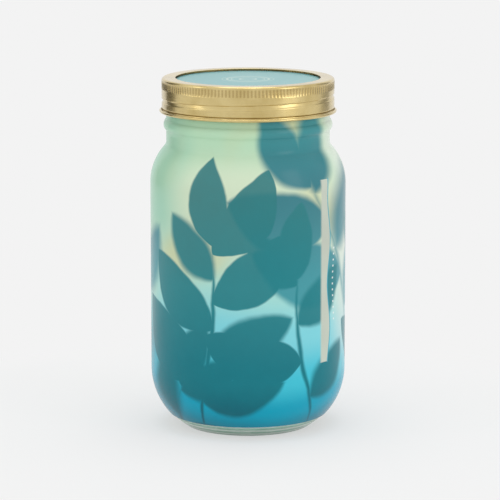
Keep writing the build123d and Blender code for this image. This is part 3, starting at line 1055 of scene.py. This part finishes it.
@dataclass
class PrintedFilm:
    """The film shrunk round the jar from the heel to just under the band."""

    jar: GlassJar
    sheet: float = 0.12
    lift: float = 0.02
    low_z: float = 6.3
    top_z: float = 160.3
    columns: int = 240

    def corners(self, out: float) -> list[tuple[Point, Point | None, int]]:
        """Gives the film's course from the heel up.

        Args:
            out: How far the course stands off the glass.

        Returns:
            Its corners, each with the centre of the arc that leads to it, if it is an arc, and
            the steps on the way.
        """
        jar, drop = self.jar, self.jar.heel_z - self.low_z
        share = (jar.heel_r + out) / jar.heel_r
        flat = sqrt(jar.heel_r**2 - drop**2) * share
        body_r, neck_r, reach = jar.body_r + out, jar.neck_r + out, jar.shoulder_r + out
        heel_mid = (jar.body_r - jar.heel_r, jar.heel_z)
        shoulder_mid = (jar.body_r - jar.shoulder_r, jar.shoulder_z)
        bead_mid = (jar.bead_centre, jar.bead_z)
        half = sqrt((jar.bead_arc + out) ** 2 - (neck_r - jar.bead_centre) ** 2)
        swing = radians(jar.swing)
        swung = (shoulder_mid[0] + reach * cos(swing), shoulder_mid[1] + reach * sin(swing))
        return [
            ((heel_mid[0] + flat, jar.heel_z - drop * share), None, 1),
            ((body_r, jar.heel_z), heel_mid, 20),
            ((body_r, jar.shoulder_z), None, 16),
            (swung, shoulder_mid, 18),
            ((neck_r, jar.neck_z), (jar.neck_r + jar.neck_fillet, jar.neck_z), 8),
            ((neck_r, jar.bead_z - half), None, 3),
            ((neck_r, jar.bead_z + half), bead_mid, 14),
            ((neck_r, self.top_z), None, 3),
        ]

    def build(self) -> Object:
        """Builds the film as a thin closed shell, printed outside and white behind."""
        inner, outer = self.corners(self.lift), self.corners(self.sheet)
        runs = inner[1:] + [(outer[-1][0], None, 1)]
        runs += [(spot, *after[1:]) for (spot, _, _), after in zip(outer[-2::-1], outer[:0:-1])]
        o = Outline(*inner[0][0])
        for spot, centre, steps in runs:
            o.arc_to(*spot, *centre, steps) if centre else o.line(*spot, steps)
        o.mesh.edges.new((o.tip, o.start))
        mesh = o.turned(self.columns)
        wrap_uv(mesh)
        for face in mesh.faces:
            inwards = face.calc_center_median().xy.dot(face.normal.xy) < -1e-6
            face.material_index = int(inwards and abs(face.normal.z) < 0.99)
        art = FilmPrint()
        group = art.leaf_group()
        skins = [art.material(side, group) for side in FilmSide]
        return finished(mesh, "film_sleeve", skins, Body.JAR, "printed_film", 50)


@dataclass
class ScrewBand:
    """The gold screw band: flange, knurl, rolled thread and curled edge in one sheet."""

    sheet: float = 0.35
    in_r: float = 43.0
    opening_r: float = 36.4
    hem: float = 0.15
    top_z: float = 176.9
    height: float = 17.3
    bend: float = 1.3
    curl_r: float = 0.75
    curl_sweep: float = 285.0
    groove_depth: float = 0.7
    groove_step: float = 0.6
    groove_bed: Point = (0.55, -0.75)
    groove_flanks: Point = (0.42, 0.7)
    groove_front_z: float = 166.9
    groove_turns: float = 1.1
    groove_end_deg: float = 100.0
    groove_run_out: float = 1.6
    pinch_h: float = 1.9
    pinch_depth: float = 0.35
    knurl_count: int = 150
    knurl_depth: float = 0.26
    knurl_h: float = 4.2

    def __post_init__(self) -> None:
        """Works out where the sheet bends and where the thread winds."""
        self.edge, self.curl_z = self.top_z - self.bend, self.top_z - self.height + self.curl_r
        low_deg = self.groove_end_deg - 360 * self.groove_turns
        low_z = self.groove_front_z + RISE * (low_deg + 90) / 360
        self.thread = Helix(low_deg, self.groove_end_deg, low_z, self.in_r)

    def outline(self) -> Outline:
        """Draws the sheet's section, from the flange's hem down the outside and back."""
        out_r, curl_mid, low_knurl = self.in_r + self.sheet, self.in_r + self.curl_r, self.edge - self.knurl_h
        hem_r, tail = self.opening_r + self.hem, radians(180 + self.curl_sweep)
        o = Outline(hem_r, self.top_z)
        o.line(out_r - self.bend, self.top_z, 5)
        o.arc(out_r - self.bend, self.edge, -90, 6)
        o.line(out_r, self.edge - 0.3).line(out_r, low_knurl + 0.3, 3).line(out_r, low_knurl)
        o.line(out_r, self.curl_z + 0.3, 46).line(out_r, self.curl_z)
        o.arc(curl_mid, self.curl_z, self.curl_sweep, 18)
        o.line(curl_mid + self.curl_r * cos(tail), self.curl_z + self.curl_r * sin(tail))
        o.arc(curl_mid, self.curl_z, -self.curl_sweep, 18)
        o.line(self.in_r, low_knurl, 40).line(self.in_r, self.edge, 4)
        o.arc(out_r - self.bend, self.edge, 90, 4)
        o.line(hem_r, self.top_z - self.sheet, 4)
        return o.arc(hem_r, self.top_z - self.sheet / 2, -180, 4)

    def groove(self, above: float) -> float:
        """Gives the depth of the rolled thread that far above its middle: a steep upper flank,
        a bed that rises outwards and a soft lower flank."""
        (top, low), (steep, soft) = self.groove_bed, self.groove_flanks
        if above > top:
            return self.groove_depth * (0.5 + 0.5 * cos(pi * min(1, (above - top) / steep)))
        if above < low:
            fall = 0.5 + 0.5 * cos(pi * min(1, (low - above) / soft))
            return self.groove_depth * self.groove_step * fall
        share = (above - low) / (top - low)
        return self.groove_depth * (self.groove_step + (1 - self.groove_step) * share)

    def rolled(self, radius: float, angle: float, height: float) -> float:
        """Gives the sheet's radius where the thread, the crease and the knurl are rolled in.

        Args:
            radius: The plain radius.
            angle: Degrees from +X.
            height: The height.

        Returns:
            The rolled radius.
        """
        if not self.in_r - 0.01 <= radius <= self.in_r + self.sheet + 0.01 or height > self.edge + 0.01:
            return radius
        above, past = self.thread.offset(angle, height)
        radius -= self.groove(above) * max(0.0, 1 - (past / self.groove_run_out) ** 2)
        off_pinch = abs(height - self.curl_z - self.pinch_h / 2) / (self.pinch_h / 2)
        if off_pinch < 1:
            radius -= self.pinch_depth * (0.5 + 0.5 * cos(pi * off_pinch))
        if self.edge - self.knurl_h + 0.05 < height < self.edge - 0.05:
            radius -= self.knurl_depth * (0.5 - 0.5 * cos(radians(angle) * self.knurl_count))
        return radius

    def build(self) -> Object:
        """Builds the band, with four columns to each groove of the knurl."""
        mesh = self.outline().turned(self.knurl_count * 4)
        round_out(mesh, self.rolled)
        return finished(mesh, "gold_band", [GoldLacquer().material()], Body.BAND, "screw_band", 50)


@dataclass
class Lid:
    """The lid's pressed disc, the sealing ring under it and the round label on it."""

    disc_r: float = 42.3
    top_z: float = 176.55
    sheet: float = 0.4
    panel_r: float = 37.1
    panel_drop: float = 0.8
    step_w: float = 1.0
    edge: float = 0.5
    skirt_lap: float = 0.72
    seal_in_r: float = 38.7
    seal_out_r: float = 41.3
    seal_low_z: float = 174.95
    seal_top_z: float = 176.15
    seal_edge: float = 0.25
    seal_mark: float = 0.12
    label_r: float = 36.7
    label_t: float = 0.12
    columns: int = 192

    def disc(self) -> Object:
        """Builds the disc, with its sunk panel, pressed rings and turned-down edge."""
        panel_z, under_z = self.top_z - self.panel_drop, self.top_z - self.sheet
        step_r, skirt_r = self.panel_r + self.step_w, self.disc_r - self.sheet
        low = self.seal_top_z - self.skirt_lap
        o = Outline(0, panel_z)
        o.line(self.panel_r, panel_z, 8)
        o.line(self.panel_r + 0.3, panel_z + 0.1).line(step_r - 0.3, self.top_z - 0.1)
        o.line(step_r, self.top_z).line(self.disc_r - self.edge, self.top_z, 3)
        o.arc(self.disc_r - self.edge, self.top_z - self.edge, -90, 5)
        o.line(self.disc_r, low).line(skirt_r, low).line(skirt_r, under_z - 0.15)
        o.line(skirt_r - 0.15, under_z).line(step_r + 0.25, under_z, 2)
        o.line(self.panel_r + 0.25, panel_z - self.sheet).line(0, panel_z - self.sheet, 8)
        return finished(o.turned(self.columns), "lid_plate", [Tinplate().material()], Body.LID, "lid_disc")

    def seal(self) -> Object:
        """Builds the sealing ring, with its rounded edges and the mark that the rim pressed."""
        edge, mark_z = self.seal_edge, self.seal_low_z + self.seal_mark
        low, high, in_r, out_r = self.seal_low_z, self.seal_top_z, self.seal_in_r + edge, self.seal_out_r - edge
        o = Outline(in_r, low)
        o.line(self.seal_in_r + 0.8, low).line(self.seal_in_r + 1.0, mark_z)
        o.line(self.seal_out_r - 0.7, mark_z, 2).line(self.seal_out_r - 0.5, low).line(out_r, low)
        o.arc(out_r, low + edge, 90, 4).line(self.seal_out_r, high - edge).arc(out_r, high - edge, 90, 4)
        o.line(in_r, high, 3).arc(in_r, high - edge, 90, 4).line(self.seal_in_r, low + edge)
        mesh = o.arc(in_r, low + edge, 90, 4).turned(self.columns)
        return finished(mesh, "sealing_ring", [SealCompound().material()], Body.LID, "lid_seal")

    def label(self) -> Object:
        """Builds the label, with its die-cut edge."""
        low = self.top_z - self.panel_drop
        high = low + self.label_t
        o = Outline(0, high)
        o.line(self.label_r - 0.05, high, 10).line(self.label_r, high - 0.04).line(self.label_r, low).line(0, low, 6)
        mesh = o.turned(self.columns)
        return finished(mesh, "round_label", [LabelPrint().material()], Body.LID, "lid_label")

    def build(self) -> list[Object]:
        """Builds the three pieces."""
        return [self.disc(), self.seal(), self.label()]


@dataclass
class NetPot:
    """The slotted pot that hangs in the mouth of the jar."""

    floor_z: float = 111.75
    floor_r: float = 31.0
    floor_rings: tuple[float, ...] = (15, 19, 23, 27, 29.6)
    collar_z: float = 173.75
    collar_r: float = 41.4
    collar_bend_r: float = 39.4
    top_r: float = 37.4
    plain_z: float = 164.0
    wall: float = 1.2
    slots: int = 18
    slot_w: float = 4.0
    slot_h: float = 17.0
    slot_top: float = 155.75
    slot_bridge: float = 5.0
    slot_rows: int = 3
    floor_slots: int = 12
    wick_slot: Point = (20.6, 3.0)
    wick_ring_r: float = 11.0
    slot_half_share: float = 0.25
    in_slot_share: float = 0.2
    in_floor_slot_share: float = 0.09

    def radius(self, height: float) -> float:
        """Gives the wall's outer radius at a height."""
        return self.floor_r + (self.top_r - self.floor_r) * (height - self.floor_z) / (self.collar_z - self.floor_z)

    def shell(self) -> BMesh:
        """Builds the outer skin, with a column of faces as wide as a slot for each slot."""
        levels = [self.slot_h * k / self.slot_rows for k in range(self.slot_rows + 1)]
        rows = [self.slot_top - level for level in levels]
        rows += [rows[-1] - self.slot_bridge - level for level in levels]
        o = Outline(self.wick_ring_r, self.floor_z)
        for ring_r in self.floor_rings:
            o.line(ring_r, self.floor_z)
        o.line(self.floor_r - 0.2, self.floor_z + 0.6)
        for height in (self.floor_z + 2, *reversed(rows), self.plain_z):
            o.line(self.radius(height), height)
        o.line(self.top_r - 0.1, self.collar_z - 1.0).line(self.top_r, self.collar_z)
        o.line(self.collar_bend_r, self.collar_z).line(self.collar_r - 0.3, self.collar_z)
        o.line(self.collar_r, self.collar_z + 0.3)
        mesh = o.turned(self.slots * 4)
        pitch = 2 * pi / self.slots
        for vert in mesh.verts:
            out, turn = hypot(vert.co.x, vert.co.y), atan2(vert.co.y, vert.co.x)
            near = round(turn / pitch) * pitch
            off = (turn - near) / pitch
            if vert.co.z >= self.floor_z + 0.3 and abs(abs(off) - self.slot_half_share) <= 0.05:
                turned = near + copysign(self.slot_w / 2 / out, off)
                vert.co.x, vert.co.y = out * cos(turned), out * sin(turned)
        return mesh

    def open_wick_slot(self, mesh: BMesh) -> None:
        """Moves the ring in the middle of the floor onto the outline of the wick's slot."""
        half_l, half_w = self.wick_slot[0] / 2, self.wick_slot[1] / 2
        corners = [(half_l, 0), (half_l, half_w), (-half_l, half_w), (-half_l, -half_w), (half_l, -half_w), (half_l, 0)]
        for vert in [v for v in mesh.verts if hypot(v.co.x, v.co.y) < self.wick_ring_r + 1]:
            run = (atan2(vert.co.y, vert.co.x) / (2 * pi) % 1) * 4 * (half_l + half_w)
            for (x0, y0), (x1, y1) in zip(corners, corners[1:]):
                length = hypot(x1 - x0, y1 - y0)
                if run <= length + 1e-9:
                    vert.co.x, vert.co.y = x0 + (x1 - x0) * run / length, y0 + (y1 - y0) * run / length
                    break
                run -= length

    def in_slot(self, face: BMFace) -> bool:
        """Says whether a face is where a slot of the wall or of the floor is."""
        centre = face.calc_center_median()
        turn = atan2(centre.y, centre.x)
        off, floor_off = (
            abs(share - round(share)) for share in (turn * count / (2 * pi) for count in (self.slots, self.floor_slots))
        )
        ends = [self.slot_top, self.slot_top - self.slot_h]
        ends += [end - self.slot_h - self.slot_bridge for end in ends]
        in_wall = off < self.in_slot_share and (ends[1] < centre.z < ends[0] or ends[3] < centre.z < ends[2])
        on_floor = centre.z < self.floor_z + 0.05 and self.floor_rings[0] < centre.xy.length < self.floor_rings[3]
        return in_wall or (on_floor and floor_off < self.in_floor_slot_share)

    def build(self) -> Object:
        """Builds the pot: skin, slots, wick slot, thickness and rounded edges."""
        mesh = self.shell()
        self.open_wick_slot(mesh)
        bmesh.ops.delete(mesh, geom=[face for face in mesh.faces if self.in_slot(face)], context="FACES")
        mesh.normal_update()
        bmesh.ops.recalc_face_normals(mesh, faces=mesh.faces[:])
        lowest = min(mesh.faces, key=lambda f: f.calc_center_median().z)
        if lowest.normal.z > 0:
            bmesh.ops.reverse_faces(mesh, faces=mesh.faces[:])
        bmesh.ops.solidify(mesh, geom=mesh.faces[:], thickness=self.wall)
        piece = finished(mesh, "slotted_pot", [MouldedPlastic().material()], Body.POT, "net_pot", 60)
        rounding = piece.modifiers.new("rounding", "SUBSURF")
        rounding.levels = rounding.render_levels = 2
        return piece


@dataclass
class Sachet:
    """A stuffed sachet: two skins that a cloth simulation blows up between flat sealed edges."""

    name: str
    node: str
    size: Place
    low_z: float
    skin: PouchSkin
    push: float
    seam: float = 2.0
    rise: float = 6.5
    seam_half_t: float = 0.12
    solver_scale: float = 0.01
    solver_frames: int = 20

    def skins(self) -> BMesh:
        """Lays out the two skins, a little domed and joined all round."""
        mesh = bmesh.new()
        bmesh.ops.create_grid(mesh, x_segments=66, y_segments=50, size=0.5)
        moved(mesh, (*self.size[:2], 1))
        for vert in mesh.verts:
            dome_x, dome_y = (1 - abs(2 * vert.co[axis] / self.size[axis]) ** 2.4 for axis in (0, 1))
            vert.co.z = 0.1 + dome_x * dome_y * (1.2 + 0.6 * noise.noise(vert.co * 0.25))
        lower = bmesh.ops.duplicate(mesh, geom=mesh.verts[:] + mesh.edges[:] + mesh.faces[:])["geom"]
        for vert in [g for g in lower if isinstance(g, BMVert)]:
            vert.co.z = -vert.co.z
        bmesh.ops.bridge_loops(mesh, edges=[e for e in mesh.edges if e.is_boundary])
        bmesh.ops.recalc_face_normals(mesh, faces=mesh.faces[:])
        return mesh

    def swollen(self, mesh: BMesh) -> BMesh:
        """Blows the skins up by cloth simulation, at a size where the solver is steady."""
        scene = bpy.context.scene
        moved(mesh, (self.solver_scale,) * 3)
        pouch = placed("pouch_cloth", mesh)
        cloth = pouch.modifiers.new("cloth", "CLOTH").settings
        cloth.use_pressure, cloth.uniform_pressure_force = True, self.push
        cloth.effector_weights.gravity = 0
        cloth.quality, cloth.mass, cloth.air_damping = 6, 0.3, 2
        cloth.tension_stiffness = cloth.compression_stiffness = 40
        cloth.shear_stiffness, cloth.bending_stiffness = 20, 0.1
        for step in range(1, self.solver_frames + 1):
            scene.frame_set(step)
        shape = bpy.data.meshes.new_from_object(pouch.evaluated_get(bpy.context.evaluated_depsgraph_get()))
        scene.frame_set(1)
        bpy.data.objects.remove(pouch)
        grown = bmesh.new()
        grown.from_mesh(shape)
        moved(grown, (1 / self.solver_scale,) * 3)
        return grown

    def build(self) -> Object:
        """Builds the sachet: swells it, presses its edges flat and fits it to its size."""
        wide, deep, high = self.size
        mesh = self.skins()
        depths = [min(wide / 2 - abs(v.co.x), deep / 2 - abs(v.co.y)) for v in mesh.verts]
        sides = [copysign(self.seam_half_t, v.co.z) for v in mesh.verts]
        mesh = self.swollen(mesh)
        for vert, depth, side in zip(mesh.verts, depths, sides):
            share = min(max((depth - self.seam) / self.rise, 0.0), 1.0)
            share = share * share * (3 - 2 * share)
            ripple = 0.06 * sin((vert.co.x + vert.co.y) * 3.7)
            vert.co.z = vert.co.z * share + (1 - share) * (side + ripple)
        for axis, reach in enumerate((wide - 0.4, deep - 0.4, high - 0.2)):
            spots = [v.co[axis] for v in mesh.verts]
            middle, factor = (max(spots) + min(spots)) / 2, reach / (max(spots) - min(spots))
            for vert in mesh.verts:
                vert.co[axis] = (vert.co[axis] - middle) * factor
        moved(mesh, shift=(0, 0, self.low_z + high / 2))
        piece = finished(mesh, self.name, [self.skin.material()], Body.POT, self.node, 70)
        return piece


@dataclass
class GrowingKit:
    """What the pot holds: wick, coir plug, two sachets and the seed packet."""

    wick: Place = (20.0, 2.4, 115.15)
    wick_low_z: float = 12.2
    wick_slack: float = 0.5
    wick_fluff: float = 0.225
    plug_low_z: float = 113.65
    plug_side_z: float = 139.65
    plug_top_z: float = 142.65
    plug_low_r: float = 29.0
    plug_top_r: float = 31.68
    packet: tuple[float, float, float, float] = (50.0, 38.0, 1.2, 154.05)
    packet_turn: float = 35.0

    def wick_strip(self) -> Object:
        """Builds the felt strip, with its uneven skin."""
        wide, thick, tall = self.wick
        mesh = bmesh.new()
        bmesh.ops.create_cube(mesh, size=1)
        moved(mesh, tuple(side - self.wick_slack for side in self.wick))
        for axis, cuts in ((2, 110), (0, 18)):
            along = [e for e in mesh.edges if abs(e.verts[0].co[axis] - e.verts[1].co[axis]) > 1]
            bmesh.ops.subdivide_edges(mesh, edges=along, cuts=cuts, use_grid_fill=True)
        moved(mesh, shift=(0, 0, self.wick_low_z + tall / 2))
        roughen(mesh, lambda spot: self.wick_fluff * noise.noise(spot * 0.9))
        piece = finished(mesh, "felt_wick", [NeedledFelt().material()], Body.POT, "wick", 80)
        return piece

    def plug(self) -> Object:
        """Builds the coir plug, a crumbly cake."""
        dome_r = arc_r(self.plug_top_z - self.plug_side_z, self.plug_top_r)
        low, side, high, edge_r = self.plug_low_z + 0.3, self.plug_side_z, self.plug_top_z - 0.3, self.plug_low_r - 1.2
        o = Outline(0, low)
        o.line(edge_r, low, 26)
        o.arc(edge_r, low + 1.0, 84, 4)
        o.line(self.plug_top_r - 0.4, side - 1.4, 26).line(self.plug_top_r - 1.8, side - 0.15, 3)
        mesh = o.arc_to(0, high, 0, high - dome_r, 30).turned(160)

        def crumble(spot: Vector) -> float:
            """Gives how far the crumbs stand out at a place."""
            rough = noise.noise(spot * 0.55) * 0.5 + noise.noise(spot * 1.7) * 0.35
            return min(rough * 0.7 - 0.05, 0.28)

        roughen(mesh, crumble)
        return finished(mesh, "coir_cake", [CoirFibre().material()], Body.POT, "coir_plug", 80)

    def seed_packet(self) -> Object:
        """Builds the paper envelope, with its seeds' bulge and its folded flap."""
        wide, deep, thick, low = self.packet
        mesh = bmesh.new()
        bmesh.ops.create_cube(mesh, size=1)
        moved(mesh, (wide - 0.1, deep - 0.1, 0.5))
        shape = {"affect": "EDGES", "offset_type": "OFFSET", "segments": 1, "profile": 0.5, "material": -1}
        bmesh.ops.bevel(mesh, geom=mesh.edges[:], offset=0.12, **shape)
        long = [e for e in mesh.edges if e.calc_length() > 20]
        bmesh.ops.subdivide_edges(mesh, edges=long, cuts=22, use_grid_fill=True)
        for vert in mesh.verts:
            swell = max(0.0, 1 - (vert.co.x / 17) ** 2) * max(0.0, 1 - ((vert.co.y + 3) / 13) ** 2)
            vert.co.z += (0.28 if vert.co.z > 0 else -0.15) * swell**0.7
        flap = bmesh.ops.create_grid(mesh, x_segments=1, y_segments=1, size=0.5)["verts"]
        for vert in flap:
            if vert.co.y > 0:
                vert.co = Vector((vert.co.x * (wide - 0.2), deep / 2 - 0.1, 0.36))
            else:
                vert.co = Vector((vert.co.x * (wide - 12), deep / 2 - 11, 0.34))
        skin = list({f for v in flap for f in v.link_faces})
        bmesh.ops.recalc_face_normals(mesh, faces=skin)
        grown = bmesh.ops.extrude_face_region(mesh, geom=skin)["geom"]
        moved(mesh, shift=(0, 0, 0.14), verts=[g for g in grown if isinstance(g, BMVert)])
        bmesh.ops.recalc_face_normals(mesh, faces=mesh.faces[:])
        rotated(mesh, self.packet_turn, "Z")
        moved(mesh, shift=(0, 0, low + thick / 2))
        return finished(mesh, "seed_envelope", [KraftPaper().material()], Body.POT, "seed_packet", 30)

    def build(self) -> list[Object]:
        paper = PouchSkin("sachet_paper", linear(226, 223, 212), linear(206, 202, 190), 0.8, 0.06, 0.0)
        film = PouchSkin("sachet_film", linear(168, 208, 204), linear(146, 192, 190), 0.3, 0.01, 0.4)
        return [
            self.wick_strip(),
            self.plug(),
            Sachet("carbon_pouch", "carbon_sachet", (44.0, 32.0, 6.0), 142.95, paper, 1.7).build(),
            Sachet("food_pouch", "food_sachet", (28.0, 36.0, 4.5), 149.25, film, 1.3).build(),
            self.seed_packet(),
        ]


# ---------------------------------------------------------------- studio


@dataclass
class Studio:
    """The pale floor, the background, the soft lamps, the dark boards and the camera."""

    floor_r: float = 0.9
    fade: Point = (0.166, 0.2)
    lit_share: float = 0.58
    floor_tint: Colour = linear(241, 241, 241)
    wall_tint: Colour = linear(243, 243, 243)
    camera_at: Place = (0.001, -1.4291, 0.3464)
    pitch: float = 10.217
    lens: float = 206.5
    sky: float = 0.80
    aim: Place = (0, 0, 0.09)
    board: Place = (1.3, -1.2, 0.3)
    direct: tuple[str, ...] = ("Camera", "Glossy", "Transmission")

    def floor(self) -> None:
        """Lays the floor, which takes the shadow and runs into the background behind."""
        mesh = bmesh.new()
        bmesh.ops.create_circle(mesh, cap_ends=True, segments=96, radius=self.floor_r)
        floor = placed("pale_floor", mesh)
        r = Recipe.material("pale_floor")
        away = r.length(r.object_place())
        plain = r.principled(Base_Color=self.floor_tint, Roughness=0.9, Specular_IOR_Level=0.0)
        sky = r.out("Emission", {"Color": self.wall_tint, "Strength": 1.0})
        beyond = r.ray(*self.direct) * r.between(away, *self.fade, self.lit_share, 1.0)
        top, clear = r.shaders(beyond, plain, sky), r.out("BsdfTransparent")
        floor.data.materials.append(r.surface(r.shaders(r.out("NewGeometry", output="Backfacing"), top, clear)))

    def world(self) -> None:
        """Sets the even light from all round and the background that camera and gloss see."""
        world = bpy.data.worlds.new("studio")
        bpy.context.scene.world = world
        world.use_nodes = True
        world.node_tree.nodes.clear()
        r = Recipe(world.node_tree)
        light = r.out("Background", {"Color": (1, 1, 1), "Strength": self.sky})
        seen = r.out("Background", {"Color": self.wall_tint, "Strength": 1.0})
        r.node("OutputWorld", {"Surface": r.shaders(r.ray(*self.direct), light, seen)})

    def lamp(self, name: str, at: Place, size: Point, power: float) -> None:
        """Hangs a soft box that faces the jar, with its place and size in metres."""
        data = bpy.data.lights.new(name, "AREA")
        data.shape, data.size, data.size_y, data.energy = "RECTANGLE", *size, power
        lamp = placed(name, data)
        lamp.location = at
        lamp.rotation_euler = (Vector(self.aim) - Vector(at)).to_track_quat("-Z", "Y").to_euler()

    def flag(self, name: str, azimuth: float, width: float, shade: float) -> None:
        """Stands a dark board where only reflections see it, to give the metal its edge.

        Args:
            name: The board's name.
            azimuth: Its place round the jar, in degrees from the front towards the right.
            width: Its width in metres.
            shade: Its shade, from 0 to 1.
        """
        tall, front, middle = self.board
        mesh = bmesh.new()
        bmesh.ops.create_grid(mesh, x_segments=1, y_segments=1, size=0.5)
        moved(mesh, (width, tall, 1))
        rotated(mesh, 90, "X")
        moved(mesh, shift=(0, front, middle))
        rotated(mesh, azimuth, "Z")
        board = placed(name, mesh)
        board.visible_camera = board.visible_diffuse = board.visible_shadow = board.visible_transmission = False
        r = Recipe.material(name)
        board.data.materials.append(r.surface(r.out("Emission", {"Color": (shade,) * 3})))

    def camera(self) -> None:
        """Sets the camera where the picture was taken from."""
        data = bpy.data.cameras.new("camera")
        data.lens, data.sensor_width = self.lens, 36
        data.clip_start, data.clip_end = 0.05, 20
        camera = placed("camera", data)
        camera.location = self.camera_at
        camera.rotation_euler = (radians(90 - self.pitch), 0, 0)
        bpy.context.scene.camera = camera

    def build(self) -> None:
        """Sets up the studio."""
        self.camera()
        self.floor()
        self.world()
        self.lamp("top_box", (0.0, 0.1, 1.5), (0.8, 0.8), 4.6)
        self.lamp("left_box", (-1.5, -0.45, 0.8), (0.3, 1.1), 1.6)
        self.lamp("right_box", (1.25, -0.85, 0.6), (0.55, 1.1), 3.6)
        self.flag("left_flag", -125, 0.55, 0.03)
        self.flag("right_flag", 124, 0.5, 0.30)
        bpy.context.scene.view_settings.view_transform = "Standard"


def main() -> None:
    """Builds every sub-assembly in order and reports each piece."""
    logging.basicConfig(level=logging.INFO, format="%(relativeCreated)d ms %(message)s")
    Studio().build()
    jar = GlassJar()
    pieces = [jar.build(), PrintedFilm(jar).build(), ScrewBand().build(), *Lid().build()]
    pieces += [NetPot().build(), *GrowingKit().build()]
    LOG.info("%d pieces", len(pieces))


if __name__ == "__main__":
    main()
